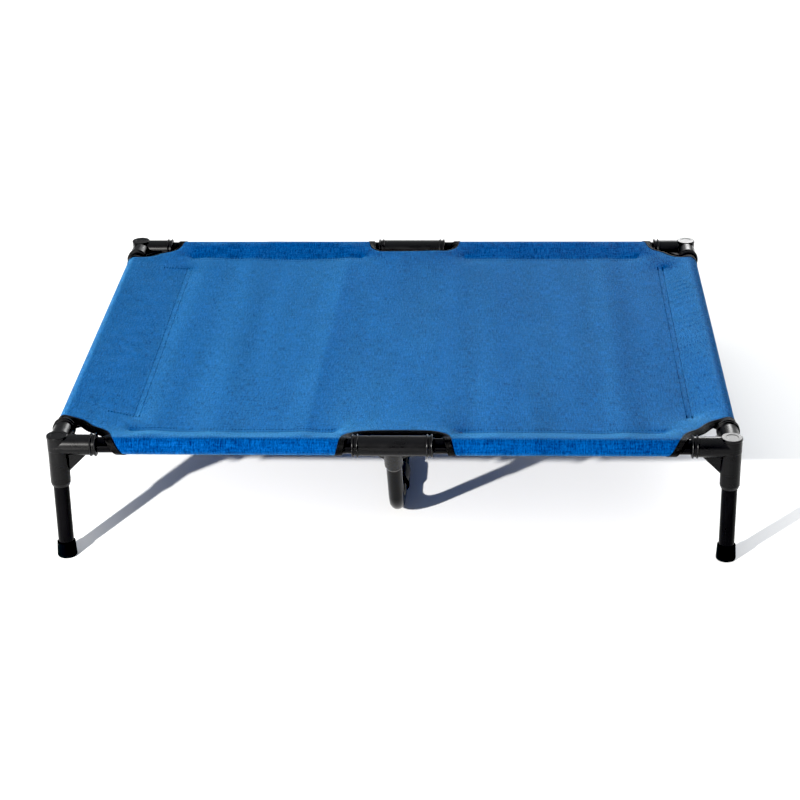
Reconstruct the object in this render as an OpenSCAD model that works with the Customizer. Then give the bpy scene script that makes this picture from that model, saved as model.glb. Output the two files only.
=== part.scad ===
// Elevated cot-style dog bed: a push-fit steel tube frame on four legs, a bent
// tube support under the middle, and a woven cover stretched between the rails.
// X runs along the long sides, Y across the bed and Z up. The origin is on the
// floor under the middle of the bed.

/* [Bed] */
// Overall length, over the corner caps
bed_length = 915; // [700:5:1300]
// Overall width, over the corner caps
bed_width = 762; // [620:2:1000]
// Height of the corner caps above the floor
bed_height = 180; // [150:1:240]

/* [Tubes] */
// Outside diameter of every frame tube
tube_od = 21; // [17:0.2:26]
// Wall thickness of every frame tube
tube_wall = 1; // [0.8:0.1:2]
// Gap all round a rail or a support tube in its socket
rail_clearance = 0.1; // [0.05:0.05:0.2]
// Gap all round a leg tube in its socket
leg_clearance = 0.05; // [0.02:0.01:0.1]

/* [Fittings] */
// Plastic wall round a tube in its socket
socket_wall = 3.1; // [2.4:0.1:4]
// Plastic left at the closed end of a socket
socket_floor = 3.4; // [2:0.1:5]
// Reach of a rail socket from the post axis
arm_reach = 52.5; // [46:0.5:58]
// Depth of the groove between the cap and the top of a rail socket
arm_drop = 0.6; // [0.2:0.1:2]
// Height of a corner post, from its mouth to the cap
post_length = 73; // [64:1:84]
// Height of the thicker upper part of a corner post
post_head = 21; // [18:1:26]
// Depth of the leg socket in a corner post
leg_socket_depth = 43; // [34:1:50]
// How far the head of a corner post stands out from its lower part, all round
head_step = 0.3; // [0.2:0.1:1]
// Height of the tapered mouth of a post or a support socket
mouth_taper = 4.5; // [2:0.5:6]
// How much narrower a post's mouth is than its lower part, all round
post_draft = 1.6; // [0.6:0.1:2]
// How far the cap's rim stands out from the post
cap_lip = 0.5; // [0.2:0.1:1.5]
// Thickness of the cap's rim
cap_thick = 3; // [2:0.5:5]
// Diameter of the shallow round dish in the cap
dish_d = 17; // [8:1:22]
// Length of a corner web along the barrels that it joins
web_leg = 24; // [14:1:30]
// Length of the flat web between a corner fitting's two rail sockets
flat_web_leg = 21; // [12:1:28]
// Length of the middle fitting's webs
tee_web_leg = 20; // [12:1:26]
// Thickness of the webs
web_thick = 3; // [2:0.5:5]
// Length of the middle fitting's rail socket
tee_length = 107; // [90:1:130]
// Width of a bead ring
bead_width = 3; // [2:0.5:4]
// How far a bead ring stands out from its barrel
bead_height = 1.8; // [0.8:0.2:2.4]
// Distance between the two bead rings at a socket mouth
bead_pitch = 6; // [4.5:0.5:8]

/* [Middle support] */
// Lean of the support legs from the vertical, in degrees
support_lean = 35; // [28:1:40]
// Straight length of a support leg, from the rail axis to its bend
support_straight = 135; // [112:1:148]
// Reach of the support socket from the rail axis
support_socket_reach = 52; // [48:1:64]
// Plastic wall of the support socket
support_socket_wall = 1.8; // [1.4:0.1:3]
// How much narrower the support socket's mouth is than the socket, all round
support_draft = 1; // [0.5:0.1:1.4]
// Straight length of a support leg between its bend and its joiner
support_tail = 29; // [4:1:50]
// Length of a joiner
joiner_length = 50; // [36:1:70]
// Thickness of the stop in the middle of a joiner or a middle fitting
stop_thick = 3; // [2:0.5:5]

/* [Feet] */
// Height of a foot cap
foot_height = 22; // [16:1:30]
// Rubber under the end of a leg
foot_floor = 4; // [3:0.5:8]
// Rubber wall at the top of a foot cap
foot_wall = 1.8; // [1.2:0.1:3]
// How much wider a foot cap is at its base than at its top, all round
foot_flare = 1.1; // [0:0.1:3]
// Radius of a foot cap's rounded bottom edge
foot_round = 3; // [1:0.5:4]

/* [Cover] */
// Thickness of the cloth
cloth = 0.8; // [0.5:0.1:1.5]
// Slack of the cloth round a rail, all round
sleeve_slack = 0.8; // [0.4:0.1:2]
// Width of the hems on the long sides and on the right, from the rail axis to the seam
hem_width = 43; // [34:1:60]
// Width of the hem on the left, from the rail axis to the seam
left_hem_width = 87; // [60:1:110]
// How far the seams lie below the rail axis
seam_drop = 2.2; // [0:0.2:6]
// Gap along a side rail between a corner fitting's mouth and the edge binding
binding_gap = 4.5; // [2:0.5:10]
// The same gap along a long rail, when the cover sits in the middle of the bed
long_binding_gap = 9.5; // [6:0.5:14]
// How far the cover sits towards the right of the bed
cover_offset = 4; // [-4:0.5:4]
// How much a corner cut-out is pulled in towards the post halfway between the rails
corner_pull = 10; // [0:1:12]
// Gap along a long rail between the middle fitting's mouth and the edge binding
middle_gap = 9.5; // [3:0.5:20]
// Gap across the bed between the middle fitting's bead rings and the edge binding
middle_depth_gap = 5.5; // [2:0.5:8]
// Radius of a middle cut-out's inner corners
middle_round = 16; // [8:1:20]
// Width of the edge binding
binding_width = 10; // [6:0.5:11]
// How far the edge binding stands out from the cloth
binding_thick = 0.8; // [0.4:0.1:1.6]

/* [Hidden] */
$fn = 96;

moulded = [0.10, 0.10, 0.11];
gloss_black = [0.04, 0.04, 0.05];
rubber_black = [0.13, 0.14, 0.15];
cloth_blue = [0.10, 0.38, 0.68];
sleeve_blue = [0.03, 0.30, 0.62];
tape_black = [0.06, 0.06, 0.06];

eps = 0.01;
left = -1;
right = 1;
front = -1;
back = 1;

// Sockets and barrels
tube_r = tube_od / 2;
rail_bore_r = tube_r + rail_clearance;
leg_bore_r = tube_r + leg_clearance;
rail_barrel_r = rail_bore_r + socket_wall;
post_r = leg_bore_r + socket_wall;
cap_r = post_r + cap_lip;
arm_seat = rail_bore_r + socket_floor;

// Where the axes lie
post_x = bed_length / 2 - cap_r;
post_y = bed_width / 2 - cap_r;
rail_z = bed_height - arm_drop - rail_barrel_r;
post_bottom = bed_height - post_length;
leg_top = post_bottom + leg_socket_depth;
leg_length = leg_top - foot_floor;

// The support: a straight run, one bend down to the level run, then a joiner
support_socket_r = rail_bore_r + support_socket_wall;
support_seat = rail_bore_r + socket_floor;
joiner_r = rail_bore_r + socket_wall;
support_z = joiner_r;
bend_radius = (rail_z - support_z - support_straight * cos(support_lean)) / (1 - sin(support_lean));
bend_end = support_straight * sin(support_lean) + bend_radius * cos(support_lean);
joiner_centre = bend_end + support_tail + joiner_length / 2;

// The cover
seam_z = rail_z - seam_drop;
sleeve_in_r = tube_r + sleeve_slack;
sleeve_out_r = sleeve_in_r + cloth;
sleeve_z = rail_z - sleeve_slack + rail_clearance;
binding_r = sleeve_out_r + binding_thick;
binding_tape = cloth + 2 * binding_thick;
binding_cover = 1.5;
seam_thick = 3 * cloth;
side_cut = arm_reach + binding_gap;
side_sleeve_end = side_cut + binding_width;
middle_cut = tee_length / 2 + middle_gap;
middle_sleeve_end = middle_cut + binding_width;
middle_cut_depth = rail_barrel_r + bead_height + middle_depth_gap;

// Where a corner cut-out crosses a long rail, and where the long hem's sleeve ends there
function long_cut(side) = arm_reach + long_binding_gap - side * cover_offset;
function long_sleeve_end(side) = long_cut(side) + binding_width;

// Places a piece that is drawn for the front left corner at any corner
module at_corner(side, end) {
    translate([side * post_x, end * post_y, 0])
        mirror([side == right ? 1 : 0, 0, 0])
            mirror([0, end == back ? 1 : 0, 0])
                children();
}

// Turns a piece that is drawn along Z so that it runs along X
module along_x() {
    rotate([0, 90, 0]) children();
}

// Turns a piece that is drawn along Z so that it runs along Y
module along_y() {
    rotate([-90, 0, 0]) children();
}

// A bead's round outline, on a barrel of radius r with the bead centred at z
function bead(r, z) = [
    for (a = [0 : 30 : 180]) [r + bead_height * sin(a), z - bead_width / 2 * cos(a)]
];

// A barrel from z = 0 to length, with bead rings centred at the given heights
module barrel(r, length, beads) {
    rotate_extrude()
        polygon(concat(
            [[0, 0], [r, 0]],
            [for (z = beads) each bead(r, z)],
            [[r, length], [0, length]]
        ));
}

// A plain tube from z = 0 to length
module tube(length) {
    difference() {
        cylinder(r = tube_r, h = length);
        translate([0, 0, -eps]) cylinder(r = tube_r - tube_wall, h = length + 2 * eps);
    }
}

// ---- Corner fittings ----

// The post with its tapered mouth, its thicker head and the round cap
module post() {
    body_r = post_r - head_step;
    mouth_r = body_r - post_draft;
    step_z = bed_height - post_head;
    edge = 1;
    rotate_extrude()
        polygon(concat(
            [[0, post_bottom], [mouth_r, post_bottom], [body_r, post_bottom + mouth_taper]],
            [[body_r, step_z], [post_r, step_z + 0.6]],
            [[post_r, bed_height - cap_thick - cap_lip], [cap_r, bed_height - cap_thick]],
            [for (a = [0 : 22.5 : 90])
                [cap_r - edge + edge * cos(a), bed_height - edge + edge * sin(a)]],
            [[0, bed_height]]
        ));
}

module rail_arm() {
    last = arm_reach - bead_width / 2;
    barrel(rail_barrel_r, arm_reach, [last - bead_pitch, last]);
}

// Webs in the corners between the post and the arms, and between the two arms
module corner_webs() {
    below = rail_z - rail_barrel_r;
    web_out = post_r + web_leg;
    flat_out = rail_barrel_r + flat_web_leg;
    for (turn = [0, 90])
        rotate([0, 0, turn])
            translate([0, web_thick / 2, 0])
                rotate([90, 0, 0])
                    linear_extrude(web_thick)
                        polygon([[0, rail_z], [web_out, rail_z], [web_out, below],
                                 [post_r, below - web_leg], [0, below - web_leg]]);
    translate([0, 0, rail_z - web_thick / 2])
        linear_extrude(web_thick)
            polygon([[0, 0], [flat_out, 0], [flat_out, rail_barrel_r],
                     [rail_barrel_r, flat_out], [0, flat_out]]);
}

module corner_fitting(side, end) {
    dish_depth = 0.5;
    color(moulded)
        at_corner(side, end)
            difference() {
                union() {
                    post();
                    translate([0, 0, rail_z]) along_x() rail_arm();
                    translate([0, 0, rail_z]) along_y() rail_arm();
                    corner_webs();
                }
                translate([0, 0, post_bottom - eps])
                    cylinder(r = leg_bore_r, h = leg_socket_depth + eps);
                translate([arm_seat, 0, rail_z])
                    along_x() cylinder(r = rail_bore_r, h = arm_reach);
                translate([0, arm_seat, rail_z])
                    along_y() cylinder(r = rail_bore_r, h = arm_reach);
                translate([0, 0, bed_height - dish_depth])
                    cylinder(d1 = dish_d - 2 * dish_depth, d2 = dish_d, h = dish_depth + eps);
            }
}

// ---- Middle fittings ----

// Points an object that is drawn along Z down the front support leg
module down_support() {
    translate([0, -post_y, rail_z]) rotate([support_lean - 180, 0, 0]) children();
}

module support_socket() {
    mouth_r = support_socket_r - support_draft;
    rotate_extrude()
        polygon([[0, 0], [support_socket_r, 0],
                 [support_socket_r, support_socket_reach - mouth_taper],
                 [mouth_r, support_socket_reach], [0, support_socket_reach]]);
}

module tee_fitting(end) {
    half = tee_length / 2;
    last = half - bead_width / 2;
    web_reach = rail_barrel_r + tee_web_leg;
    web_width = support_socket_r + tee_web_leg;
    color(moulded)
        mirror([0, end == back ? 1 : 0, 0])
            difference() {
                union() {
                    translate([-half, -post_y, rail_z])
                        along_x()
                            barrel(rail_barrel_r, tee_length,
                                   [half - last, half - last + bead_pitch,
                                    half + last - bead_pitch, half + last]);
                    down_support() {
                        support_socket();
                        translate([0, web_thick / 2, 0])
                            rotate([90, 0, 0])
                                linear_extrude(web_thick)
                                    polygon([[-web_width, 0], [web_width, 0],
                                             [web_width, rail_barrel_r],
                                             [support_socket_r, web_reach],
                                             [-support_socket_r, web_reach],
                                             [-web_width, rail_barrel_r]]);
                    }
                }
                for (side = [left, right])
                    translate([side * (stop_thick / 2 + half), -post_y, rail_z])
                        along_x() cylinder(r = rail_bore_r, h = tee_length, center = true);
                down_support()
                    translate([0, 0, support_seat])
                        cylinder(r = rail_bore_r, h = support_socket_reach);
            }
}

// ---- Rails ----

module long_rail(side, end) {
    length = post_x - arm_seat - stop_thick / 2;
    start = side == left ? arm_seat - post_x : stop_thick / 2;
    color(gloss_black)
        translate([start, end * post_y, rail_z])
            along_x() tube(length);
}

module side_rail(side) {
    length = 2 * (post_y - arm_seat);
    color(gloss_black)
        translate([side * post_x, -length / 2, rail_z])
            along_y() tube(length);
}

// ---- Legs ----

module leg_tube(side, end) {
    color(gloss_black)
        at_corner(side, end)
            translate([0, 0, foot_floor]) tube(leg_length);
}

module foot_cap(side, end) {
    top_r = tube_r + foot_wall;
    base_r = top_r + foot_flare;
    lip = 0.8;
    color(rubber_black)
        at_corner(side, end)
            rotate_extrude()
                polygon(concat(
                    [[0, 0]],
                    [for (a = [-90 : 15 : 0])
                        [base_r - foot_round + foot_round * cos(a), foot_round + foot_round * sin(a)]],
                    [[top_r, foot_height - lip / 2], [top_r - lip / 2, foot_height]],
                    [[tube_r + lip, foot_height], [tube_r, foot_height - 2 * lip]],
                    [[tube_r, foot_floor], [0, foot_floor]]
                ));
}

// ---- Middle support ----

// A support leg as a solid rod of radius r, with its ends moved out by reach and
// its bend drawn a little thinner or thicker, as bending leaves the wall
module support_rod(r, bend_r, reach) {
    tail = support_tail + (joiner_length - stop_thick) / 2;
    lap = 0.2;
    down_support()
        translate([0, 0, support_seat - reach])
            cylinder(r = r, h = support_straight - support_seat + reach);
    translate([0, bend_end - post_y, support_z + bend_radius])
        rotate([90, 0, 90])
            rotate([0, 0, 180 + support_lean - lap])
                rotate_extrude(angle = 90 - support_lean + 2 * lap)
                    translate([bend_radius, 0]) circle(r = bend_r);
    translate([0, bend_end - post_y, support_z])
        along_y() cylinder(r = r, h = tail + reach);
}

module support_leg(end) {
    thinning = 0.03;
    color(gloss_black)
        mirror([0, end == back ? 1 : 0, 0])
            difference() {
                support_rod(tube_r, tube_r - thinning, 0);
                support_rod(tube_r - tube_wall, tube_r - tube_wall + thinning, eps);
            }
}

module support_joiner(end) {
    edge = 1.5;
    half = joiner_length / 2;
    color(moulded)
        translate([0, end * (post_y - joiner_centre), support_z])
            along_y()
                difference() {
                    rotate_extrude()
                        polygon([[0, -half], [joiner_r - edge, -half], [joiner_r, edge - half],
                                 [joiner_r, half - edge], [joiner_r - edge, half], [0, half]]);
                    for (way = [-1, 1])
                        translate([0, 0, way * (half + stop_thick / 2)])
                            cylinder(r = rail_bore_r, h = joiner_length, center = true);
                }
}

module support_crossbar() {
    length = 2 * (post_y - joiner_centre) - stop_thick;
    color(gloss_black)
        translate([0, -length / 2, support_z])
            along_y() tube(length);
}

// ---- Cover ----

// Where a line from point p touches a circle of radius r about the origin
function touch(p, r, way) =
    let (swing = atan2(p.y, p.x) + way * acos(r / norm(p)))
    [r * cos(swing), r * sin(swing)];

// The drop-shaped section of a hem: round the rail at the origin, and in to the seam
module hem_section(hem) {
    tip_z = seam_z - sleeve_z;
    upper = [hem, tip_z + seam_thick / 2];
    lower = [hem, tip_z - seam_thick / 2];
    inner = [hem - binding_width, tip_z];
    difference() {
        union() {
            circle(r = sleeve_out_r);
            polygon([[0, 0], touch(lower, sleeve_out_r, -1), lower, upper,
                     touch(upper, sleeve_out_r, 1)]);
        }
        circle(r = sleeve_in_r);
        polygon([[0, 0], touch(inner, sleeve_in_r, -1), inner, touch(inner, sleeve_in_r, 1)]);
    }
}

module long_sleeve(side, end) {
    start = middle_sleeve_end + side * cover_offset;
    length = post_x - long_sleeve_end(side) - start;
    color(sleeve_blue)
        mirror([0, end == back ? 1 : 0, 0])
            mirror([side == left ? 1 : 0, 0, 0])
                translate([start, -post_y, sleeve_z])
                    rotate([90, 0, 90])
                        linear_extrude(length) hem_section(hem_width);
}

module side_sleeve(side) {
    length = 2 * (post_y - side_sleeve_end);
    hem = side == left ? left_hem_width : hem_width;
    color(sleeve_blue)
        mirror([side == right ? 1 : 0, 0, 0])
            translate([-post_x, length / 2, sleeve_z])
                rotate([90, 0, 0])
                    linear_extrude(length) hem_section(hem);
}

// The outline of a corner cut-out, drawn for the front left post and widened by grow
module corner_outline(side, grow) {
    polygon(concat(
        [[-tube_od, -tube_od], [long_cut(side) + grow, -tube_od]],
        [for (a = [0 : 7.5 : 90])
            let (cut = long_cut(side) * pow(cos(a), 2) + side_cut * pow(sin(a), 2),
                 reach = cut + grow - corner_pull * pow(sin(2 * a), 4))
            [reach * cos(a), reach * sin(a)]],
        [[-tube_od, side_cut + grow]]
    ));
}

// The outline of a middle cut-out, drawn for the front rail and widened by grow
module middle_outline(grow) {
    half = middle_cut + grow;
    depth = middle_cut_depth + grow;
    polygon(concat(
        [[-half, -tube_od], [half, -tube_od]],
        [for (a = [0 : 15 : 90])
            [half - middle_round + middle_round * cos(a), depth - middle_round + middle_round * sin(a)]],
        [for (a = [90 : 15 : 180])
            [middle_round - half + middle_round * cos(a), depth - middle_round + middle_round * sin(a)]]
    ));
}

// The flat cloth of one corner that runs past the ends of the hems, up to the binding
module corner_tongue(side) {
    clear = binding_r - binding_cover;
    hem = side == left ? left_hem_width : hem_width;
    difference() {
        union() {
            translate([clear, clear])
                square([long_sleeve_end(side) - clear, side_sleeve_end - clear]);
            translate([clear, hem_width])
                square([hem - clear, side_sleeve_end - hem_width]);
        }
        corner_outline(side, binding_width);
    }
}

// The flat cloth inside the seams, with its tongues between the hems
module cover_deck() {
    color(cloth_blue)
        translate([0, 0, seam_z - cloth / 2])
            linear_extrude(cloth)
                union() {
                    translate([left_hem_width - post_x, hem_width - post_y])
                        square([2 * post_x - left_hem_width - hem_width,
                                2 * (post_y - hem_width)]);
                    for (end = [front, back]) {
                        mirror([0, end == back ? 1 : 0])
                            translate([cover_offset, -post_y])
                                difference() {
                                    translate([-middle_sleeve_end, binding_r - binding_cover])
                                        square([2 * middle_sleeve_end,
                                                hem_width - binding_r + binding_cover]);
                                    middle_outline(binding_width);
                                }
                        for (side = [left, right])
                            translate([side * post_x, end * post_y])
                                mirror([side == right ? 1 : 0, 0])
                                    mirror([0, end == back ? 1 : 0])
                                        corner_tongue(side);
                    }
                }
}

// The binding round the end of a hem, drawn along Z from z = 0
module binding_loop() {
    difference() {
        cylinder(r = binding_r, h = binding_width);
        translate([0, 0, -eps]) cylinder(r = sleeve_in_r, h = binding_width + 2 * eps);
    }
}

// The binding along the flat edge of a cut-out, between its loops round the rails
module binding_strip() {
    reach = bed_length / 4;
    translate([0, 0, seam_z - binding_tape / 2])
        linear_extrude(binding_tape)
            difference() {
                children();
                translate([-reach, -reach]) square([2 * reach, reach + binding_r - binding_cover]);
            }
}

module corner_binding(side, end) {
    color(tape_black)
        at_corner(side, end) {
            binding_strip()
                difference() {
                    corner_outline(side, binding_width);
                    corner_outline(side, 0);
                    translate([-bed_width / 4, -eps - tube_od])
                        square([bed_width / 4 + binding_r - binding_cover, bed_width / 4]);
                }
            translate([long_cut(side), 0, sleeve_z]) along_x() binding_loop();
            translate([0, side_cut, sleeve_z]) along_y() binding_loop();
        }
}

module middle_binding(end) {
    color(tape_black)
        mirror([0, end == back ? 1 : 0, 0])
            translate([cover_offset, -post_y, 0]) {
                binding_strip()
                    difference() {
                        middle_outline(binding_width);
                        middle_outline(0);
                    }
                for (start = [-middle_sleeve_end, middle_cut])
                    translate([start, 0, sleeve_z]) along_x() binding_loop();
            }
}

corner_fitting(left, front);  // corner_fitting_front_left
corner_fitting(right, front);  // corner_fitting_front_right
corner_fitting(left, back);  // corner_fitting_back_left
corner_fitting(right, back);  // corner_fitting_back_right
tee_fitting(front);  // tee_fitting_front
tee_fitting(back);  // tee_fitting_back
long_rail(left, front);  // long_rail_front_left
long_rail(right, front);  // long_rail_front_right
long_rail(left, back);  // long_rail_back_left
long_rail(right, back);  // long_rail_back_right
side_rail(left);  // side_rail_left
side_rail(right);  // side_rail_right
leg_tube(left, front);  // leg_tube_front_left
leg_tube(right, front);  // leg_tube_front_right
leg_tube(left, back);  // leg_tube_back_left
leg_tube(right, back);  // leg_tube_back_right
foot_cap(left, front);  // foot_cap_front_left
foot_cap(right, front);  // foot_cap_front_right
foot_cap(left, back);  // foot_cap_back_left
foot_cap(right, back);  // foot_cap_back_right
support_leg(front);  // support_leg_front
support_leg(back);  // support_leg_back
support_joiner(front);  // support_joiner_front
support_joiner(back);  // support_joiner_back
support_crossbar();
cover_deck();
long_sleeve(left, front);  // cover_sleeve_front_left
long_sleeve(right, front);  // cover_sleeve_front_right
long_sleeve(left, back);  // cover_sleeve_back_left
long_sleeve(right, back);  // cover_sleeve_back_right
side_sleeve(left);  // cover_sleeve_left
side_sleeve(right);  // cover_sleeve_right
corner_binding(left, front);  // binding_front_left
corner_binding(right, front);  // binding_front_right
corner_binding(left, back);  // binding_back_left
corner_binding(right, back);  // binding_back_right
middle_binding(front);  // binding_front_middle
middle_binding(back);  // binding_back_middle
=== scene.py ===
"""Elevated dog bed: the cover, its bindings and stitching, the finishes, the light and the camera.

Lengths are in metres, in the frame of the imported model: X runs along the long sides and Z is up.
"""
import math

import bpy
import numpy as np
from mathutils import Matrix, Vector


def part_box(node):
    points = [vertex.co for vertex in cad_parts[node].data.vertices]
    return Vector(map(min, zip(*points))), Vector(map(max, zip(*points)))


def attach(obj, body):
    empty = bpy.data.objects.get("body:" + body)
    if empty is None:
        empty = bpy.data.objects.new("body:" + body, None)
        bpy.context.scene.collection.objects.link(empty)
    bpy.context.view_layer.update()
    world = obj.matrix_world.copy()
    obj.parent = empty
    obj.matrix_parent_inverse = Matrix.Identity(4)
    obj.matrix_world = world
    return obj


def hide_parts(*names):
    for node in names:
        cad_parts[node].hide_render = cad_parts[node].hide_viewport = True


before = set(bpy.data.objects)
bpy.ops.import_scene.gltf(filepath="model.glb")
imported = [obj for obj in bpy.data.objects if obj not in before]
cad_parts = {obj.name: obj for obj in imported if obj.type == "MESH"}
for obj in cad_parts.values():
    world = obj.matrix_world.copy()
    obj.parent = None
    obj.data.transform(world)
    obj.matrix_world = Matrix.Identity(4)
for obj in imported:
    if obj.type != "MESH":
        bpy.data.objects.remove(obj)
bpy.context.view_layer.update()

MM = 0.001
LEFT, RIGHT = -1, 1
FRONT, BACK = -1, 1


def low(node):
    return np.array(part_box(node)[0])


def high(node):
    return np.array(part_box(node)[1])


def middle(node):
    return (low(node) + high(node)) / 2


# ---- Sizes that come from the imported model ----
RAIL_X = middle("side_rail_right")[0]
RAIL_Y = middle("long_rail_back_right")[1]
RAIL_Z = middle("side_rail_right")[2]
DECK_Z = middle("cover_deck")[2]
CLOTH = high("cover_deck")[2] - low("cover_deck")[2]
SLEEVE_TOP = high("cover_sleeve_right")[2]
SLEEVE_BOTTOM = low("cover_sleeve_right")[2]
WRAP_R = (SLEEVE_TOP - SLEEVE_BOTTOM - CLOTH) / 2
WRAP_Z = (SLEEVE_TOP + SLEEVE_BOTTOM) / 2
RAIL_TOP = WRAP_Z + WRAP_R
HEM_LONG = RAIL_Y + high("cover_sleeve_front_right")[1]
HEM_LEFT = RAIL_X + high("cover_sleeve_left")[0]
HEM_RIGHT = RAIL_X - low("cover_sleeve_right")[0]
TAPE_WIDTH = 10 * MM
# How much nearer to the posts the cloth's cut-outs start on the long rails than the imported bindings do.
LONG_CUT_NEARER = {LEFT: 5 * MM, RIGHT: 3 * MM}
LONG_CUT = {
    LEFT: RAIL_X + high("binding_back_left")[0] - TAPE_WIDTH - LONG_CUT_NEARER[LEFT],
    RIGHT: RAIL_X - low("binding_back_right")[0] - TAPE_WIDTH - LONG_CUT_NEARER[RIGHT],
}
SIDE_CUT = RAIL_Y - low("binding_back_right")[1] - TAPE_WIDTH
COVER_OFFSET = middle("binding_back_middle")[0]
MIDDLE_CUT = high("binding_back_middle")[0] - COVER_OFFSET - TAPE_WIDTH
MIDDLE_DEPTH = RAIL_Y - low("binding_back_middle")[1] - TAPE_WIDTH

# ---- The cover's own sizes ----
CELL = 4 * MM
TURN_ROWS = 16
ALLOWANCE_ROWS = 3
ON_LINE = 1e-6
SEAM_ALLOWANCE = 10 * MM
UNDER_Z = DECK_Z - CLOTH - 0.1 * MM
CORNER_PULL = 10 * MM
CORNER_DIP = 2.7 * MM
LONG_FLARE = 0.56
SIDE_FLARE = 0.38
MIDDLE_FLARE = 0.24
FLARE_END = 60 * MM
MIDDLE_ROUND = 16 * MM
EDGE_DROOP = 6 * MM
DROOP_REACH = 11 * MM
DROOP_START = 16 * MM
CORNER_SEAM_GAP = 28 * MM
MIDDLE_SEAM_GAP = 20 * MM
SIDE_SEAM_START = 88 * MM
DECK_SAG = 3 * MM
# Each crease's place along X in metres, its lean, and its height and half-width in millimetres.
CREASES = (
    (-0.326, 0.0, 2.2, 26),
    (-0.245, -0.012, 1.2, 24),
    (-0.112, 0.030, 1.6, 20),
    (-0.108, 0.030, 0.5, 6),
    (0.050, -0.020, 0.8, 26),
    (0.135, 0.010, 1.1, 24),
    (0.308, 0.0, 1.9, 20),
)

# ---- The tapes and the stitching ----
TAPE_THICK = 2.4 * MM
OUTLINE_POINTS = 60
PATH_STEP = 2.2 * MM
EASE_ROUNDS = 12
TAPE_SEWING = TAPE_WIDTH * 0.74
SEAM_ROWS = (0.5 * MM, 8 * MM)
TACK_LENGTH = 8 * MM
BAR_PITCH = 3 * MM
BAR_INNER_END = 87 * MM
BAR_OUTER_END = 96 * MM
BAR_OUTER_SIDE = 52 * MM
# Each kind of stitch: its pitch, length, thread radius and lift.
TAPE_STITCH = (3.4 * MM, 2.7 * MM, 0.3 * MM, 1.25 * MM)
SEAM_STITCH = (4.2 * MM, 3.2 * MM, 0.45 * MM, 0.6 * MM)
TACK_STITCH = (2.4 * MM, 2.8 * MM, 0.9 * MM, 0.8 * MM)
SPINE_POINTS = 5
RING_POINTS = 6

# ---- The camera ----
CAMERA_PLACE = (0.12989, -2.8525, 1.37745)
CAMERA_ANGLES = (2.735, 24.718, 0.987)
CAMERA_LENS = 94.8
SENSOR_WIDTH = 36
BLACK_LEVEL = 0.013


def make_object(name, points, faces, material, uvs=None):
    """A smooth-shaded mesh object from points, faces and, if given, flat cloth coordinates."""
    mesh = bpy.data.meshes.new(name)
    mesh.from_pydata(np.asarray(points).tolist(), [], list(faces))
    mesh.materials.append(material)
    mesh.shade_smooth()
    if uvs is not None:
        layer = mesh.uv_layers.new(name="cloth")
        corners = np.empty(len(mesh.loops), dtype=np.int32)
        mesh.loops.foreach_get("vertex_index", corners)
        layer.data.foreach_set("uv", uvs[corners].astype(np.float32).ravel())
    made = bpy.data.objects.new(name, mesh)
    bpy.context.collection.objects.link(made)
    return made


# ---- Materials ----
class Shader:
    """One material's node tree, built a node at a time round its Principled BSDF."""

    def __init__(self, name, sockets):
        self.material = bpy.data.materials.new(name)
        self.material.use_nodes = True
        self.tree = self.material.node_tree
        self.surface = self.tree.nodes["Principled BSDF"]
        for socket, value in sockets.items():
            self.put(self.surface.inputs[socket], value)

    def put(self, socket, value):
        """Links another node's output into a socket, or sets it to a plain value."""
        if isinstance(value, bpy.types.NodeSocket):
            self.tree.links.new(value, socket)
        else:
            socket.default_value = value

    def add(self, kind, inputs, **settings):
        node = self.tree.nodes.new("ShaderNode" + kind)
        for name, value in settings.items():
            setattr(node, name, value)
        for name, value in inputs.items():
            self.put(node.inputs[name], value)
        return node

    def place(self, source, scale=(1, 1, 1)):
        """Coordinates in millimetres, divided by the given sizes. The source is Object or UV."""
        coordinates = self.add("TexCoord", {})
        sizes = [1 / (MM * s) for s in scale]
        mapped = self.add("Mapping", {"Vector": coordinates.outputs[source], "Scale": sizes})
        return mapped.outputs["Vector"]

    def noise(self, vector, detail=2.0, roughness=0.5):
        values = {"Vector": vector, "Scale": 1.0, "Detail": detail, "Roughness": roughness}
        return self.add("TexNoise", values).outputs["Fac"]

    def math(self, operation, *values):
        node = self.add("Math", {}, operation=operation)
        for socket, value in zip(node.inputs, values):
            self.put(socket, value)
        return node.outputs["Value"]

    def span(self, value, start, end, to_start, to_end):
        """Maps start..end to to_start..to_end, held at the ends."""
        values = {
            "Value": value,
            "From Min": start,
            "From Max": end,
            "To Min": to_start,
            "To Max": to_end,
        }
        return self.add("MapRange", values).outputs["Result"]

    def mix(self, factor, first, second):
        node = self.add("Mix", {}, data_type="RGBA")
        self.put(node.inputs["Factor"], factor)
        self.put(node.inputs["A"], first)
        self.put(node.inputs["B"], second)
        return node.outputs["Result"]

    def bump(self, height, distance, normal=None):
        """A bump whose height 0..1 stands for the given distance in metres."""
        inputs = {"Height": height, "Distance": distance, "Strength": 1.0}
        if normal is not None:
            inputs["Normal"] = normal
        return self.add("Bump", inputs).outputs["Normal"]

    def finish(self, **links):
        for socket, value in links.items():
            self.put(self.surface.inputs[socket.replace("_", " ")], value)
        return self.material


def colour(red, green, blue):
    return (red, green, blue, 1.0)


def weave_height(shader, vector):
    """The height 0..1 of a plain weave, one thread to each unit of the vector."""
    parts = shader.add("SeparateXYZ", {"Vector": vector})
    across = shader.math("SINE", shader.math("MULTIPLY", parts.outputs["X"], math.pi))
    along = shader.math("SINE", shader.math("MULTIPLY", parts.outputs["Y"], math.pi))
    over = shader.span(shader.math("MULTIPLY", across, along), -0.3, 0.3, 0.0, 1.0)
    warp = shader.math("MULTIPLY", shader.math("ABSOLUTE", across), over)
    weft = shader.math("MULTIPLY", shader.math("ABSOLUTE", along), shader.math("SUBTRACT", 1.0, over))
    return shader.math("MAXIMUM", warp, weft)


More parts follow.
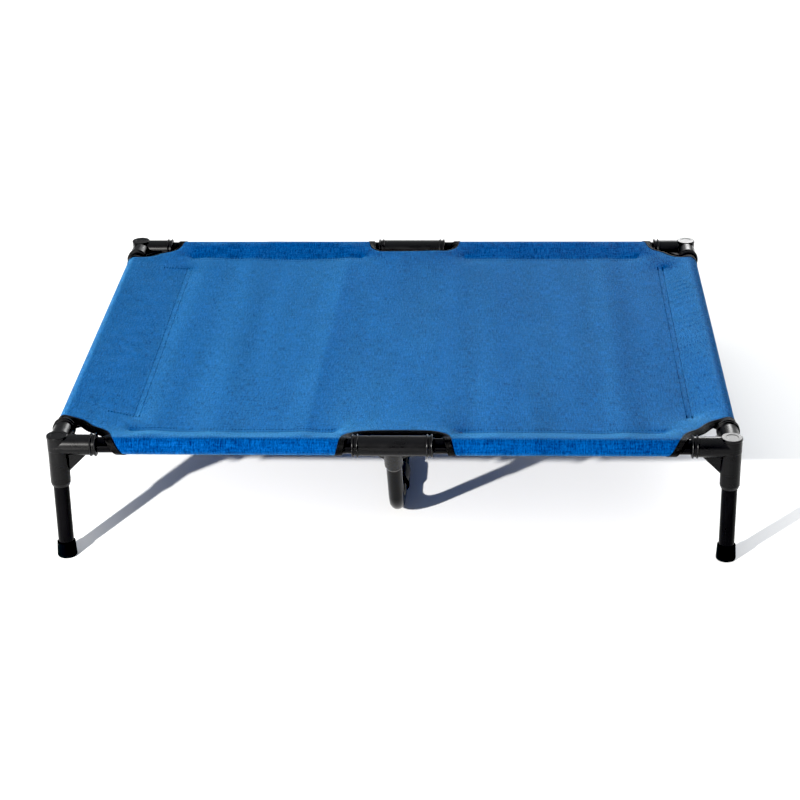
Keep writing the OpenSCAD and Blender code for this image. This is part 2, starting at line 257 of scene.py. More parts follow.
def cover_material():
    """Blue oxford cloth: plain weave, uneven yarns, faint mottling, long streaks of painted sheen in its
    colour, and a pale sheen.
    """
    shader = Shader(
        "woven_cover_cloth",
        {
            "Specular IOR Level": 0.01,
            "Specular Tint": colour(0.10, 0.48, 1.0),
            "Sheen Weight": 0.42,
            "Sheen Roughness": 0.28,
            "Sheen Tint": colour(0.13, 0.55, 1.0),
        },
    )
    warp_yarns = shader.noise(shader.place("UV", (1.5, 16, 1)), 2)
    weft_yarns = shader.noise(shader.place("UV", (20, 2.8, 1)), 2)
    mottle = shader.noise(shader.place("UV", (45, 70, 1)), 4)
    # Long streaks along the cloth, mixed into the base colour: painted sheen that stands in for the light
    # and shade on the creases.
    painted_sheen_bands = shader.noise(shader.place("UV", (42, 700, 1)), 3)
    grain = shader.noise(shader.place("UV", (2.0, 3.4, 1)), 2)
    yarns = shader.math("ADD", warp_yarns, shader.math("MULTIPLY", weft_yarns, 0.6))
    shade = shader.math("ADD", yarns, shader.math("MULTIPLY", grain, 0.8))
    shade = shader.math("ADD", shade, shader.math("MULTIPLY", mottle, 0.2))
    # The streaks of painted sheen lighten and darken the base colour in long bands.
    shade = shader.math("ADD", shade, shader.math("MULTIPLY", painted_sheen_bands, 0.35))
    factor = shader.span(shade, 1.22, 1.72, 0.0, 1.0)
    dark = colour(0.0020, 0.012, 0.060)
    light = colour(0.0045, 0.054, 0.200)
    weave = weave_height(shader, shader.place("UV", (0.9, 0.9, 1)))
    normal = shader.bump(yarns, 0.16 * MM)
    normal = shader.bump(weave, 0.16 * MM, normal)
    return shader.finish(
        Base_Color=shader.mix(factor, dark, light),
        Roughness=shader.span(grain, 0.3, 0.7, 0.42, 0.56),
        Normal=normal,
    )


def tape_material():
    """Black woven tape with fine ribs across it and a soft satin shine."""
    shader = Shader("binding_tape_weave", {"Specular IOR Level": 0.06})
    ribs = weave_height(shader, shader.place("UV", (0.8, 1.3, 1)))
    dust = shader.noise(shader.place("Object", (9, 9, 9)), 4)
    return shader.finish(
        Base_Color=shader.mix(dust, colour(0.0006, 0.0006, 0.0007), colour(0.002, 0.002, 0.0022)),
        Roughness=shader.span(dust, 0.3, 0.7, 0.28, 0.42),
        Normal=shader.bump(ribs, 0.18 * MM),
    )


def thread_material(name, dark, light):
    """Sewing thread: two plies twisted round each other."""
    shader = Shader(name, {"Specular IOR Level": 0.05})
    twist = shader.noise(shader.place("Object", (0.5, 0.5, 0.5)), 1)
    return shader.finish(
        Base_Color=shader.mix(twist, dark, light),
        Roughness=shader.span(twist, 0.3, 0.7, 0.45, 0.65),
        Normal=shader.bump(twist, 0.1 * MM),
    )


def plastic_material():
    """Moulded black plastic: a satin grain, flow marks, a parting line and rubbed edges."""
    shader = Shader("moulded_plastic_satin", {"Specular IOR Level": 0.14})
    grain = shader.noise(shader.place("Object", (0.7, 0.7, 0.7)), 2)
    flow = shader.noise(shader.place("Object", (25, 25, 9)), 3)
    edges = shader.span(shader.add("NewGeometry", {}).outputs["Pointiness"], 0.51, 0.58, 0.0, 1.0)
    wear = shader.math("MULTIPLY", edges, shader.span(flow, 0.4, 0.7, 0.1, 0.9))
    height = shader.add("SeparateXYZ", {"Vector": shader.add("TexCoord", {}).outputs["Object"]})
    from_rail = shader.math("ABSOLUTE", shader.math("SUBTRACT", height.outputs["Z"], float(RAIL_Z)))
    parting = shader.span(from_rail, 0.1 * MM, 0.35 * MM, 1.0, 0.0)
    body = shader.mix(flow, colour(0.0012, 0.0012, 0.0014), colour(0.003, 0.003, 0.0035))
    normal = shader.bump(grain, 0.05 * MM)
    normal = shader.bump(parting, 0.12 * MM, normal)
    return shader.finish(
        Base_Color=shader.mix(wear, body, colour(0.015, 0.015, 0.016)),
        Roughness=shader.span(flow, 0.3, 0.7, 0.25, 0.34),
        Normal=normal,
    )


def tube_material():
    """Black powder coat on steel: glossy, with a faint orange peel and dull patches."""
    shader = Shader(
        "gloss_tube_coat",
        {"Specular IOR Level": 0.03, "Coat Weight": 0.07, "Coat Roughness": 0.03},
    )
    peel = shader.noise(shader.place("Object", (2.6, 2.6, 2.6)), 2)
    haze = shader.noise(shader.place("Object", (14, 14, 40)), 4)
    return shader.finish(
        Base_Color=shader.mix(haze, colour(0.001, 0.001, 0.0012), colour(0.003, 0.003, 0.0035)),
        Roughness=shader.span(haze, 0.35, 0.7, 0.08, 0.20),
        Normal=shader.bump(peel, 0.05 * MM),
    )


def rubber_material():
    """Black rubber: matt, with a fine grain, and dusty where it meets the floor."""
    shader = Shader("foot_rubber_matt", {"Specular IOR Level": 0.02})
    grain = shader.noise(shader.place("Object", (0.9, 0.9, 0.9)), 3)
    scuffs = shader.noise(shader.place("Object", (5, 5, 2)), 4)
    height = shader.add("SeparateXYZ", {"Vector": shader.add("TexCoord", {}).outputs["Object"]})
    near_floor = shader.span(height.outputs["Z"], 1 * MM, 7 * MM, 0.8, 0.1)
    dust = shader.math("MULTIPLY", near_floor, shader.span(scuffs, 0.35, 0.7, 0.1, 1.0))
    return shader.finish(
        Base_Color=shader.mix(dust, colour(0.001, 0.0017, 0.0022), colour(0.006, 0.007, 0.008)),
        Roughness=shader.span(scuffs, 0.3, 0.7, 0.5, 0.75),
        Normal=shader.bump(grain, 0.10 * MM),
    )


def floor_material():
    """A matt white studio floor with a barely uneven tone."""
    shader = Shader("studio_floor", {"Specular IOR Level": 0.1, "Roughness": 0.8})
    tone = shader.noise(shader.place("Object", (900, 900, 900)), 2)
    return shader.finish(
        Base_Color=shader.mix(tone, colour(0.76, 0.76, 0.76), colour(0.80, 0.80, 0.79)),
    )


def finish_nodes(materials):
    """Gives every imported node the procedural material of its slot."""
    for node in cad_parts.values():
        for slot in node.material_slots:
            slot.material = materials[slot.material.name.split(".")[0]]


# ---- The shape of the cover ----
def hem_of(side):
    return HEM_LEFT if side == LEFT else HEM_RIGHT


def wrap_turn(hem):
    """How far the cloth turns round a rail, from its top, before it runs straight to the seam."""
    drop = WRAP_Z - UNDER_Z
    reach = math.hypot(hem, drop)
    return 1.5 * math.pi - math.atan2(drop, hem) - math.acos(WRAP_R / reach)


def wrap_straight(hem):
    """Length of the lower ply from the rail to the seam."""
    return math.sqrt(hem**2 + (WRAP_Z - UNDER_Z) ** 2 - WRAP_R**2)


def wrap_length(hem):
    """Length of a hem from the top of its rail to its end under the deck."""
    return WRAP_R * wrap_turn(hem) + wrap_straight(hem) + SEAM_ALLOWANCE


def wrap(distance, hem):
    """(out, height) of the cloth at a distance past the top of a rail, out from the rail's axis."""
    turn = wrap_turn(hem)
    angle = np.minimum(distance / WRAP_R, turn)
    straight = np.maximum(distance - WRAP_R * turn, 0)
    slope = np.minimum(straight, wrap_straight(hem))
    past_seam = straight - slope
    out = WRAP_R * np.sin(angle) + slope * math.cos(turn) - past_seam
    height = WRAP_Z + WRAP_R * np.cos(angle) - slope * math.sin(turn)
    return out, height


def corner_radius(long_cut, angle):
    """How far a corner cut-out's edge lies from the post's axis. Angle 0 is along the long rail."""
    cut = long_cut * np.cos(angle) ** 2 + SIDE_CUT * np.sin(angle) ** 2
    return cut - CORNER_PULL * np.sin(2 * angle) ** 4


def flared(cut, flare, past_rail):
    """Where a cut-out's edge crosses a hem, at a distance past the top of the rail."""
    return cut + flare * np.minimum(past_rail, FLARE_END)


def corner_gap(long_cut, u, v):
    """Distance into the cloth from the corner cut-out's edge. u and v run inwards from the rails."""
    on_top = np.hypot(u, v) - corner_radius(long_cut, np.arctan2(np.maximum(v, 0), np.maximum(u, 0)))
    along_rail = np.where(v < 0, u, v)
    cut = np.where(v < 0, long_cut, SIDE_CUT)
    flare = np.where(v < 0, LONG_FLARE, SIDE_FLARE)
    on_hem = along_rail - flared(cut, flare, -np.minimum(u, v))
    gap = np.where(np.minimum(u, v) < 0, on_hem, on_top)
    return np.where(np.maximum(u, v) < 0, -1.0, gap)


def middle_gap(x, v):
    """Distance into the cloth from a middle cut-out's edge. v runs inwards from the rail."""
    beside = np.abs(x) - (MIDDLE_CUT - MIDDLE_ROUND)
    beyond = v - (MIDDLE_DEPTH - MIDDLE_ROUND)
    outside = np.hypot(np.maximum(beside, 0), np.maximum(beyond, 0))
    inside = np.minimum(np.maximum(beside, beyond), 0)
    on_hem = np.abs(x) - flared(MIDDLE_CUT, MIDDLE_FLARE, -v)
    return np.where(v < 0, on_hem, outside + inside - MIDDLE_ROUND)


def cloth_gap(s, t):
    """Distance into the cloth from the nearest cut-out's edge, over the flat cloth."""
    gap = np.full(np.shape(s), 1.0)
    for end in (FRONT, BACK):
        v = RAIL_Y - end * t
        gap = np.minimum(gap, middle_gap(s - COVER_OFFSET, v))
        for side in (LEFT, RIGHT):
            gap = np.minimum(gap, corner_gap(LONG_CUT[side], RAIL_X - side * s, v))
    return gap


def hem_lines(hem):
    """Distances past the top of a rail at which the cloth has a row of points."""
    arc = WRAP_R * wrap_turn(hem)
    seam = arc + wrap_straight(hem)
    rows = [
        np.linspace(0, arc, 1 + TURN_ROWS)[1:],
        np.linspace(arc, seam, 1 + round((seam - arc) / CELL))[1:],
        np.linspace(seam, seam + SEAM_ALLOWANCE, 1 + ALLOWANCE_ROWS)[1:],
    ]
    return np.concatenate(rows)


def top_lines(half, hem_low, hem_high):
    """Rows of points over the top, with one on each rail and on each seam."""
    stops = [-half, -half + hem_low, half - hem_high, half]
    rows = [np.linspace(a, b, 1 + round((b - a) / CELL))[:-1] for a, b in zip(stops, stops[1:])]
    return np.concatenate(rows + [[half]])


TOP_S = top_lines(RAIL_X, HEM_LEFT, HEM_RIGHT)
TOP_T = top_lines(RAIL_Y, HEM_LONG, HEM_LONG)


def held_heights(x, y):
    """Heights of the top where the cloth is held, and NaN where it hangs free."""
    u, v = RAIL_X - np.abs(x), RAIL_Y - np.abs(y)
    held = np.full(x.shape, np.nan)
    long_cut = np.where(x < 0, LONG_CUT[LEFT], LONG_CUT[RIGHT])
    past_middle = np.abs(x - COVER_OFFSET) > MIDDLE_CUT + MIDDLE_SEAM_GAP
    past_corner = u > long_cut + CORNER_SEAM_GAP
    on_long_seam = (np.abs(v - HEM_LONG) < ON_LINE) & past_corner & past_middle
    on_left_seam = (np.abs(x + RAIL_X - HEM_LEFT) < ON_LINE) & (v > SIDE_SEAM_START)
    on_right_seam = (np.abs(RAIL_X - HEM_RIGHT - x) < ON_LINE) & (v > SIDE_SEAM_START)
    held[on_long_seam | on_left_seam | on_right_seam] = DECK_Z
    near = np.minimum(u, v)
    on_rail = near < 1.1 * CELL
    held[on_rail] = WRAP_Z + np.sqrt(WRAP_R**2 - near[on_rail] ** 2)
    at_corner = corner_gap(long_cut, u, v) < 0
    angle = np.arctan2(v, u)
    held[at_corner] = (RAIL_TOP - CORNER_DIP * np.sin(2 * angle) ** 2)[at_corner]
    at_middle = middle_gap(x - COVER_OFFSET, v) < 0
    depth = np.clip(v / MIDDLE_DEPTH, 0, 1)
    held[at_middle] = (RAIL_TOP - CORNER_DIP * depth**2)[at_middle]
    return held


def relax(held, load, rounds=900):
    """A stretched sheet's heights through the held points, under an even load.

    Red-black relaxation: each pass moves every other point past the mean of its neighbours.
    """
    free = np.isnan(held)
    height = np.where(free, DECK_Z, held)
    rows, columns = np.indices(height.shape)
    over = 1.97
    for step in range(2 * rounds):
        turn = free & ((rows + columns) % 2 == step % 2)
        turn[0, :] = turn[-1, :] = turn[:, 0] = turn[:, -1] = False
        around = np.zeros_like(height)
        around[1:-1, 1:-1] = (
            height[:-2, 1:-1] + height[2:, 1:-1] + height[1:-1, :-2] + height[1:-1, 2:]
        ) / 4 - load
        height = np.where(turn, (1 - over) * height + over * around, height)
    return height


def ridge(distance, width):
    """A soft ridge across a line, 1 on it and fading over the width."""
    return np.exp(-((distance / width) ** 2))


def wave(along, length, drift):
    """A sine wave of the given length in metres, whose phase drifts."""
    return np.sin(2 * math.pi * along / length + drift)


def relief(x, y):
    """Packing creases, slack waves and puckers of the cloth over the deck, in metres."""
    u, v = RAIL_X - np.abs(x), RAIL_Y - np.abs(y)
    lift = np.zeros(x.shape)
    for place, lean, size, width in CREASES:
        lift += size * MM * ridge(x - place - lean * y, width * MM)
    lift += 0.45 * MM * wave(x + 0.45 * y, 0.17, 0.8 * np.sin(y / 0.11))
    lift += 0.35 * MM * wave(x - 0.30 * y, 0.26, 1.1 * np.sin(x / 0.15))
    near_right = ridge(RAIL_X - HEM_RIGHT * 0.5 - x, 17 * MM)
    bunched = 0.25 + 0.75 * ridge(y - 0.15, 0.13)
    puckers = wave(y, 0.019, 2.6 * np.sin(y / 0.031)) * (1 + np.sin(y / 0.023))
    lift += 0.16 * MM * near_right * bunched * puckers
    near_left = ridge(x + RAIL_X - HEM_LEFT * 0.5, 30 * MM)
    lift += 0.10 * MM * near_left * wave(y, 0.047, 2.3 * np.sin(y / 0.07))
    fade = np.clip(np.minimum(u, v) / 0.012, 0, 1)
    return lift * fade


def top_heights():
    """Heights of the cloth's top over the grid of TOP_S and TOP_T."""
    x, y = np.meshgrid(TOP_S, TOP_T, indexing="ij")
    held = held_heights(x, y)
    short_side = 2 * RAIL_Y - 2 * HEM_LONG
    sag_share = 0.098
    load = DECK_SAG * CELL**2 / (sag_share * short_side**2)
    return relax(held, load / 4) + relief(x, y)


TOP_HEIGHTS = top_heights()


def top_height(x, y):
    """Height of the cloth's top at any point over the deck, between the grid's points."""
    i = np.clip(np.searchsorted(TOP_S, x) - 1, 0, len(TOP_S) - 2)
    j = np.clip(np.searchsorted(TOP_T, y) - 1, 0, len(TOP_T) - 2)
    a = (x - TOP_S[i]) / (TOP_S[i + 1] - TOP_S[i])
    b = (y - TOP_T[j]) / (TOP_T[j + 1] - TOP_T[j])
    near = (1 - b) * TOP_HEIGHTS[i, j] + b * TOP_HEIGHTS[i, j + 1]
    far = (1 - b) * TOP_HEIGHTS[i + 1, j] + b * TOP_HEIGHTS[i + 1, j + 1]
    return (1 - a) * near + a * far


def edge_droop(s, t):
    """How far a cut-out's bound edge hangs down where no rail holds it up."""
    from_rail = np.minimum(RAIL_X - np.abs(s), RAIL_Y - np.abs(t))
    free = np.clip(from_rail / DROOP_START, 0, 1)
    free = free**2 * (3 - 2 * free)
    near_edge = np.clip(1 - cloth_gap(s, t) / DROOP_REACH, 0, 1.2)
    return EDGE_DROOP * free * near_edge**1.5


def cloth_point(s, t):
    """Where a point of the flat cloth lies on the bed. s and t run along X and Y from the middle."""
    s, t = np.asarray(s, float), np.asarray(t, float)
    x, y = np.clip(s, -RAIL_X, RAIL_X), np.clip(t, -RAIL_Y, RAIL_Y)
    z = top_height(x, y) - edge_droop(s, t)
    past_y = np.abs(t) - RAIL_Y
    out, height = wrap(np.maximum(past_y, 0), HEM_LONG)
    y = np.where(past_y > 0, np.sign(t) * (RAIL_Y + out), y)
    z = np.where(past_y > 0, height, z)
    for side in (LEFT, RIGHT):
        past_x = side * s - RAIL_X
        out, height = wrap(np.maximum(past_x, 0), hem_of(side))
        x = np.where(past_x > 0, side * (RAIL_X + out), x)
        z = np.where(past_x > 0, height, z)
    return np.stack([x, y, z], axis=-1)


def cloth_frame(s, t, ds, dt):
    """(point, direction, normal, sideways) on the cloth at (s, t), heading along (ds, dt)."""
    step = 0.6 * MM
    point = cloth_point(s, t)
    along = cloth_point(s + step * ds, t + step * dt) - cloth_point(s - step * ds, t - step * dt)
    across = cloth_point(s - step * dt, t + step * ds) - cloth_point(s + step * dt, t - step * ds)
    along /= np.linalg.norm(along, axis=-1, keepdims=True)
    across /= np.linalg.norm(across, axis=-1, keepdims=True)
    normal = np.cross(along, across)
    normal /= np.linalg.norm(normal, axis=-1, keepdims=True)
    return point, along, normal, np.cross(normal, along)


def snap_to_edge(s, t, inset):
    """Moves points of the flat cloth on to the line that lies inset from the cut-outs' edges."""
    step = 0.2 * MM
    for _ in range(3):
        gap = cloth_gap(s, t)
        ds = (cloth_gap(s + step, t) - cloth_gap(s - step, t)) / (2 * step)
        dt = (cloth_gap(s, t + step) - cloth_gap(s, t - step)) / (2 * step)
        size = np.maximum(ds**2 + dt**2, 0.25)
        move = np.clip(inset - gap, -CELL, CELL) / size
        s, t = s + move * ds, t + move * dt
    return s, t


def make_cover(material):
    """The whole cloth as one sheet with its cut-outs. Returns it, its flat size and its flat area."""
    left, right, long = hem_lines(HEM_LEFT), hem_lines(HEM_RIGHT), hem_lines(HEM_LONG)
    s_lines = np.concatenate([-RAIL_X - left[::-1], TOP_S, RAIL_X + right])
    t_lines = np.concatenate([-RAIL_Y - long[::-1], TOP_T, RAIL_Y + long])
    s, t = np.meshgrid(s_lines, t_lines, indexing="ij")
    centre_s = (s[1:, 1:] + s[:-1, :-1]) / 2
    centre_t = (t[1:, 1:] + t[:-1, :-1]) / 2
    inset = TAPE_WIDTH / 2
    keep = cloth_gap(centre_s, centre_t) > inset
    index = np.arange(s.size).reshape(s.shape)
    cells = [index[:-1, :-1], index[1:, :-1], index[1:, 1:], index[:-1, 1:]]
    faces = np.stack([c[keep] for c in cells], axis=-1)
    cut = np.stack([c[~keep] for c in cells], axis=-1)
    s, t = s.ravel(), t.ravel()
    edge = np.intersect1d(faces, cut)
    s[edge], t[edge] = snap_to_edge(s[edge], t[edge], inset)
    used, faces = np.unique(faces, return_inverse=True)
    s, t = s[used], t[used]
    faces = faces.reshape(-1, 4)
    flat_points = np.stack([s, t], axis=-1)
    cover = make_object("cover", cloth_point(s, t), faces.tolist(), material, flat_points)
    a, b, c, d = (flat_points[faces[:, k]] for k in range(4))
    twice_area = (c - a)[:, 0] * (d - b)[:, 1] - (c - a)[:, 1] * (d - b)[:, 0]
    thicken = cover.modifiers.new("cloth", "SOLIDIFY")
    thicken.thickness = CLOTH
    thicken.offset = 0
    flat = (s_lines[-1] - s_lines[0], t_lines[-1] - t_lines[0])
    return cover, flat, float(np.abs(twice_area).sum() / 2)


# ---- Bindings and stitching ----
def resample(path, step):
    """Points about a step apart along a path."""
    lengths = np.linalg.norm(np.diff(path, axis=0), axis=1)
    travelled = np.concatenate([[0], np.cumsum(lengths)])
    wanted = np.linspace(0, travelled[-1], max(2, 1 + round(travelled[-1] / step)))
    return np.stack([np.interp(wanted, travelled, path[:, k]) for k in range(2)], axis=-1)


def ease(path, rounds):
    """Rounds a path's kinks and keeps its ends."""
    for _ in range(rounds):
        path[1:-1] = (path[:-2] + 2 * path[1:-1] + path[2:]) / 4
    return path


def headings(path):
    """Unit directions along a path."""
    along = np.gradient(path, axis=0)
    return along / np.linalg.norm(along, axis=1, keepdims=True)


def corner_outline(side):
    """A corner cut-out's edge in (u, v), from the long hem's end to the side hem's end."""
    rows = np.linspace(wrap_length(HEM_LONG), 0, OUTLINE_POINTS)
    long_hem = np.stack([flared(LONG_CUT[side], LONG_FLARE, rows), -rows], axis=-1)
    angle = np.linspace(0, math.pi / 2, OUTLINE_POINTS)[1:-1]
    radius = corner_radius(LONG_CUT[side], angle)
    across = np.stack([radius * np.cos(angle), radius * np.sin(angle)], axis=-1)
    rows = np.linspace(0, wrap_length(hem_of(side)), OUTLINE_POINTS)
    side_hem = np.stack([-rows, flared(SIDE_CUT, SIDE_FLARE, rows)], axis=-1)
    return np.concatenate([long_hem, across, side_hem])


def middle_outline():
    """A middle cut-out's edge in (x, v), from one long hem's end to the other's."""
    rows = np.linspace(wrap_length(HEM_LONG), 0, OUTLINE_POINTS)
    hem = np.stack([flared(MIDDLE_CUT, MIDDLE_FLARE, rows), -rows], axis=-1)
    angle = np.linspace(0, math.pi / 2, 20)
    centre = np.array([MIDDLE_CUT - MIDDLE_ROUND, MIDDLE_DEPTH - MIDDLE_ROUND])
    bend = centre + MIDDLE_ROUND * np.stack([np.cos(angle), np.sin(angle)], axis=-1)
    half = np.concatenate([hem, bend])
    other = half[::-1] * [-1, 1]
    return np.concatenate([half, other])


def inset_path(outline, inset):
    """The line that lies inset into the cloth from a cut-out's edge, and its headings."""
    path = ease(resample(outline, PATH_STEP), EASE_ROUNDS)
    ahead = headings(path)
    sideways = np.stack([-ahead[:, 1], ahead[:, 0]], axis=-1)
    gap_gained = cloth_gap(*(path + MM * sideways).T) - cloth_gap(*(path - MM * sideways).T)
    sideways *= np.where(np.sum(np.sign(gap_gained)) < 0, -1, 1)
    path = path + inset * sideways
    return path, headings(path)


def strip(profile, path, ahead):
    """Points and faces of a closed profile (sideways, up) swept along a path on the cloth."""
    side_s = path[:, :1] - ahead[:, 1:] * profile[:, 0]
    side_t = path[:, 1:] + ahead[:, :1] * profile[:, 0]
    ahead_s = np.broadcast_to(ahead[:, :1], side_s.shape)
    ahead_t = np.broadcast_to(ahead[:, 1:], side_s.shape)
    point, _, normal, _ = cloth_frame(side_s, side_t, ahead_s, ahead_t)
    points = point + profile[:, 1][None, :, None] * normal
    count, around = side_s.shape
    ring = np.arange(around)
    rows = np.arange(count - 1)[:, None] * around
    next_ring = (ring + 1) % around
    next_rows = rows + around
    corners = [rows + ring, rows + next_ring, next_rows + next_ring, next_rows + ring]
    return points.reshape(-1, 3), np.stack(corners, axis=-1).reshape(-1, 4)


def tape_profile():
    """Half-round edges and a flat face, with a low groove where the stitching pulls it in."""
    half = TAPE_WIDTH / 2
    top = np.array(
        [(-1.0, 0.15), (-0.94, 0.75), (-0.8, 1.0), (-0.5, 1.0), (-0.1, 0.97), (0.3, 1.0),
         (0.48, 0.8), (0.62, 1.0), (0.85, 0.95), (0.97, 0.7), (1.0, 0.2)]
    )
    loop = np.concatenate([top, top[::-1] * [1, -1]])
    return loop * [half, TAPE_THICK / 2]


def make_strip(name, outline_st, material):
    """A tape folded over a cut-out's edge."""
    path, ahead = inset_path(outline_st, TAPE_WIDTH / 2)
    profile = tape_profile()
    points, faces = strip(profile, path, ahead)
    around = len(profile)
    first = list(range(around))
    last = [len(points) - around + k for k in first]
    rows = np.arange(len(path)) * PATH_STEP
    uvs = np.stack(np.meshgrid(rows, profile[:, 0], indexing="ij"), axis=-1).reshape(-1, 2)
    faces = [f[::-1].tolist() for f in faces] + [first, last[::-1]]
    return make_object(name, points, faces, material, uvs)


def stitches(path, pitch, length, radius, lift):
    """Points and faces of a row of thread stitches along a path over the flat cloth."""
    centres = resample(path, pitch)
    ahead = headings(centres)
    point, along, normal, sideways = cloth_frame(*centres.T, *ahead.T)
    a = np.linspace(-1, 1, SPINE_POINTS)
    rise = lift * (1 - a**2) - 0.9 * radius * a**2
    slim = radius * (1 - 0.45 * a**4)
    angle = np.arange(RING_POINTS) * 2 * math.pi / RING_POINTS
    spine = (
        point[:, None]
        + 0.5 * length * a[None, :, None] * along[:, None]
        + rise[None, :, None] * normal[:, None]
    )
    ring = (
        np.cos(angle)[None, :, None] * normal[:, None]
        + np.sin(angle)[None, :, None] * sideways[:, None]
    )
    points = spine[:, :, None] + slim[None, :, None, None] * ring[:, None]
    k = np.arange(RING_POINTS)
    next_k = (k + 1) % RING_POINTS
    thread = np.arange(len(centres))[:, None, None] * SPINE_POINTS
    base = (thread + np.arange(SPINE_POINTS - 1)[None, :, None]) * RING_POINTS
    beyond = base + RING_POINTS
    faces = np.stack([base + k, base + next_k, beyond + next_k, beyond + k], axis=-1)
    return points.reshape(-1, 3), faces.reshape(-1, 4)


def make_stitching(name, rows, material):
    """One object for several rows of stitches, each given as (path, pitch, length, radius, lift)."""
    points, faces, count = [], [], 0
    for row in rows:
        p, f = stitches(*row)
        points.append(p)
        faces.append(f + count)
        count += len(p)
    return make_object(name, np.concatenate(points), np.concatenate(faces).tolist(), material)


def line(s0, t0, s1, t1):
    return np.array([[s0, t0], [s1, t1]], float)


def seam_paths():
    """The two rows of stitching along each hem, and the short bars that close the left hem's ends."""
    paths = []
    for row in SEAM_ROWS:
        t = RAIL_Y - HEM_LONG - row
        for side in (LEFT, RIGHT):
            inner = COVER_OFFSET + side * (MIDDLE_CUT + MIDDLE_SEAM_GAP)
            outer = side * (RAIL_X - LONG_CUT[side] - CORNER_SEAM_GAP)
            paths += [line(inner, end * t, outer, end * t) for end in (FRONT, BACK)]
        for side in (LEFT, RIGHT):
            s = side * (RAIL_X - hem_of(side) - row)
            reach = RAIL_Y - SIDE_SEAM_START
            paths.append(line(s, -reach, s, reach))
    for end in (FRONT, BACK):
        inner = (-RAIL_X + HEM_LEFT + SEAM_ROWS[1], end * (RAIL_Y - BAR_INNER_END))
        outer = (-RAIL_X + BAR_OUTER_SIDE, end * (RAIL_Y - BAR_OUTER_END))
        lower = -end * BAR_PITCH
        paths.append(line(*inner, *outer))
        paths.append(line(inner[0], inner[1] + lower, outer[0], outer[1] + lower))
    return paths


def tack_paths():
    """The thick back-stitched ends of the right seam's two rows."""
    reach = RAIL_Y - SIDE_SEAM_START
    start = reach - TACK_LENGTH
    rows = [RAIL_X - HEM_RIGHT - row for row in SEAM_ROWS]
    return [line(s, end * start, s, end * reach) for s in rows for end in (FRONT, BACK)]


def make_bindings(tape, thread):
    """The six tapes with their stitching. Returns all the pieces."""
    made = []
    spots = [(side, end) for end in (FRONT, BACK) for side in (LEFT, 0, RIGHT)]
    for side, end in spots:
        where = {LEFT: "left", RIGHT: "right"}.get(side)
        end_name = "front" if end == FRONT else "back"
        if side == 0:
            name = f"binding_{end_name}_middle"
            outline = middle_outline()
            flat_s = COVER_OFFSET + outline[:, 0]
        else:
            name = f"binding_{end_name}_{where}"
            outline = corner_outline(side)
            flat_s = side * (RAIL_X - outline[:, 0])
        flat = np.stack([flat_s, end * (RAIL_Y - outline[:, 1])], axis=-1)
        piece = make_strip(name.replace("binding", "tape"), flat, tape)
        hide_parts(name)
        row, _ = inset_path(flat, TAPE_SEWING)
        sewing_name = name.replace("binding", "tape_stitching")
        sewing = make_stitching(sewing_name, [(row, *TAPE_STITCH)], thread)
        made += [piece, sewing]
    return made


def make_soft_goods():
    """The cover, its seams and its bindings, all riding on the frame."""
    cloth = cover_material()
    tape = tape_material()
    # The cover's thread is dark navy, darker than its own blue: partly its colour, partly painted shade
    # of the stitch holes and of the groove the stitching pulls in.
    blue_thread_and_painted_shade = thread_material(
        "cover_thread_and_painted_shade", colour(0.0002, 0.003, 0.012), colour(0.0005, 0.007, 0.028)
    )
    black_thread = thread_material(
        "tape_thread", colour(0.002, 0.002, 0.0025), colour(0.012, 0.012, 0.013)
    )
    cover, flat, area = make_cover(cloth)
    sleeves = [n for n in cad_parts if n.startswith("cover_sleeve")]
    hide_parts("cover_deck", *sleeves)
    rows = [(path, *SEAM_STITCH) for path in seam_paths()]
    rows += [(path, *TACK_STITCH) for path in tack_paths()]
    seams = make_stitching("seam_stitching", rows, blue_thread_and_painted_shade)
    bindings = make_bindings(tape, black_thread)
    for piece in [cover, seams, *bindings]:
        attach(piece, "frame")
    return cloth, tape


# ---- Stage ----
def make_floor():
    size = 9.0
    corners = [(-size, -size, 0), (size, -size, 0), (size, size, 0), (-size, size, 0)]
    floor = make_object("studio_floor", corners, [(0, 1, 2, 3)], floor_material())


def background(tree, tint, strength):
    node = tree.nodes.new("ShaderNodeBackground")
    node.inputs["Color"].default_value = tint
    node.inputs["Strength"].default_value = strength
    return node


def overhead_strength(tree, horizon, zenith):
    """The sky's strength, which rises from horizon to zenith with the direction's height squared."""
    direction = tree.nodes.new("ShaderNodeTexCoord")
    parts = tree.nodes.new("ShaderNodeSeparateXYZ")
    square = tree.nodes.new("ShaderNodeMath")
    square.operation = "MULTIPLY"
    strength = tree.nodes.new("ShaderNodeMapRange")
    strength.inputs["To Min"].default_value = horizon
    strength.inputs["To Max"].default_value = zenith
    tree.links.new(direction.outputs["Generated"], parts.inputs["Vector"])
    tree.links.new(parts.outputs["Z"], square.inputs[0])
    tree.links.new(parts.outputs["Z"], square.inputs[1])
    tree.links.new(square.outputs["Value"], strength.inputs["Value"])
    return strength.outputs["Result"]


def make_world():
    """A soft fill, bright overhead and dim at the horizon, and plain white past the floor's edge."""
    world = bpy.data.worlds.new("studio")
    bpy.context.scene.world = world
    world.use_nodes = True
    tree = world.node_tree
    tree.nodes.clear()
    fill = background(tree, colour(0.96, 0.98, 1.0), 1.0)
    tree.links.new(overhead_strength(tree, 0.27, 1.75), fill.inputs["Strength"])
    white = background(tree, colour(1.0, 1.0, 1.0), 1.05)
    rays = tree.nodes.new("ShaderNodeLightPath")
    mix = tree.nodes.new("ShaderNodeMixShader")
    out = tree.nodes.new("ShaderNodeOutputWorld")
    tree.links.new(rays.outputs["Is Camera Ray"], mix.inputs["Fac"])
    tree.links.new(fill.outputs["Background"], mix.inputs[1])
    tree.links.new(white.outputs["Background"], mix.inputs[2])
    tree.links.new(mix.outputs["Shader"], out.inputs["Surface"])


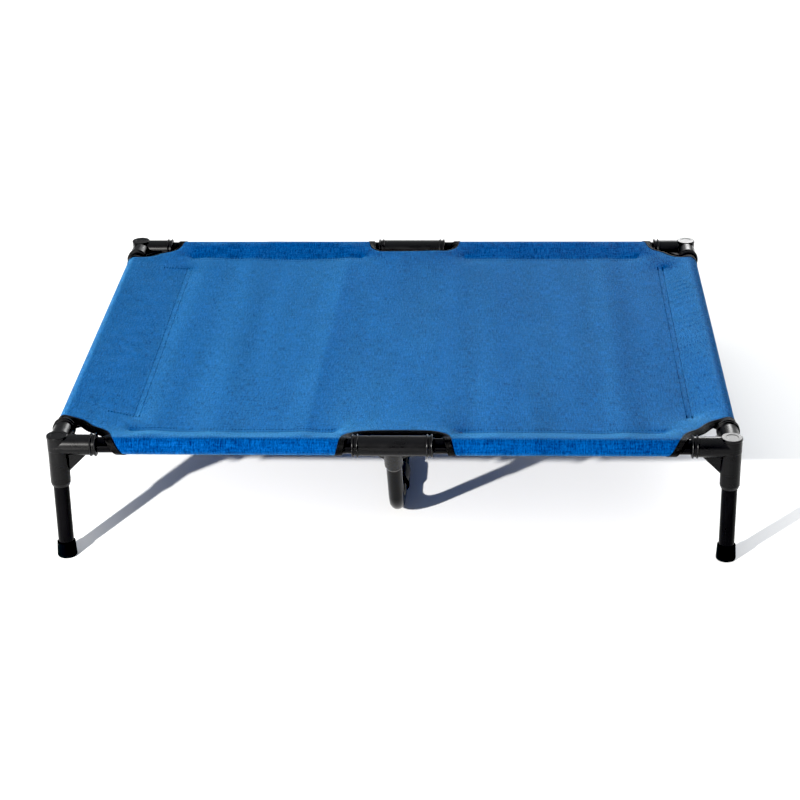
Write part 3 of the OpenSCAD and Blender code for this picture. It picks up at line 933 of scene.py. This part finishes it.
def add_light(name, kind, place, towards, power, **settings):
    light = bpy.data.lights.new(name, kind)
    light.energy = power
    for setting, value in settings.items():
        setattr(light, setting, value)
    made = bpy.data.objects.new(name, light)
    made.location = place
    made.rotation_euler = (Vector(towards) - Vector(place)).to_track_quat("-Z", "Y").to_euler()
    made.visible_camera = False
    bpy.context.collection.objects.link(made)
    return made


def make_lights():
    """A small hard key at the front left, a glow and a card behind the bed, and a rim card."""
    key = {"shadow_soft_size": 0.035, "color": (1.0, 0.98, 0.95)}
    add_light("key", "POINT", (-1.50, -2.58, 1.29), (0, 0, 0.1), 1000, **key)
    glow = {"shape": "RECTANGLE", "size": 3.4, "size_y": 1.4}
    add_light("backdrop_glow", "AREA", (1.1, 3.1, 1.5), (0.05, 0, 0.15), 20, **glow)
    card = {"shape": "RECTANGLE", "size": 0.9, "size_y": 1.2}
    add_light("backdrop_card", "AREA", (0.85, 3.0, 1.5), (0.45, 0, 0.18), 40, **card)
    rim = {"shape": "RECTANGLE", "size": 0.7, "size_y": 0.7}
    add_light("rim_card", "AREA", (2.3, 1.5, 1.0), (0.45, 0, 0.18), 16, **rim)


def make_camera():
    """A long lens from the front and above, without lens shift. The angles are in degrees."""
    azimuth, elevation, roll = (math.radians(a) for a in CAMERA_ANGLES)
    reach = math.cos(elevation)
    forward = Vector((-math.sin(azimuth) * reach, math.cos(azimuth) * reach, -math.sin(elevation)))
    level = Vector((math.cos(azimuth), math.sin(azimuth), 0))
    down = forward.cross(level)
    across = math.cos(roll) * level + math.sin(roll) * down
    up = math.sin(roll) * level - math.cos(roll) * down
    camera = bpy.data.cameras.new("camera")
    camera.lens = CAMERA_LENS
    camera.sensor_width = SENSOR_WIDTH
    made = bpy.data.objects.new("camera", camera)
    turn = Matrix((across, up, -forward)).transposed()
    made.matrix_world = Matrix.Translation(CAMERA_PLACE) @ turn.to_4x4()
    bpy.context.collection.objects.link(made)
    bpy.context.scene.camera = made


def set_view():
    """Plain display colours, with a small black level that deepens the blacks."""
    view = bpy.context.scene.view_settings
    view.view_transform = "Standard"
    view.use_curve_mapping = True
    view.curve_mapping.black_level = (BLACK_LEVEL, BLACK_LEVEL, BLACK_LEVEL)
    view.curve_mapping.update()


make_camera()
make_world()
make_lights()
make_floor()
cover_cloth, cover_tape = make_soft_goods()
finish_nodes(
    {
        "moulded_plastic": plastic_material(),
        "gloss_tube": tube_material(),
        "foot_rubber": rubber_material(),
        "woven_cover": cover_cloth,
        "binding_tape": cover_tape,
    }
)
set_view()
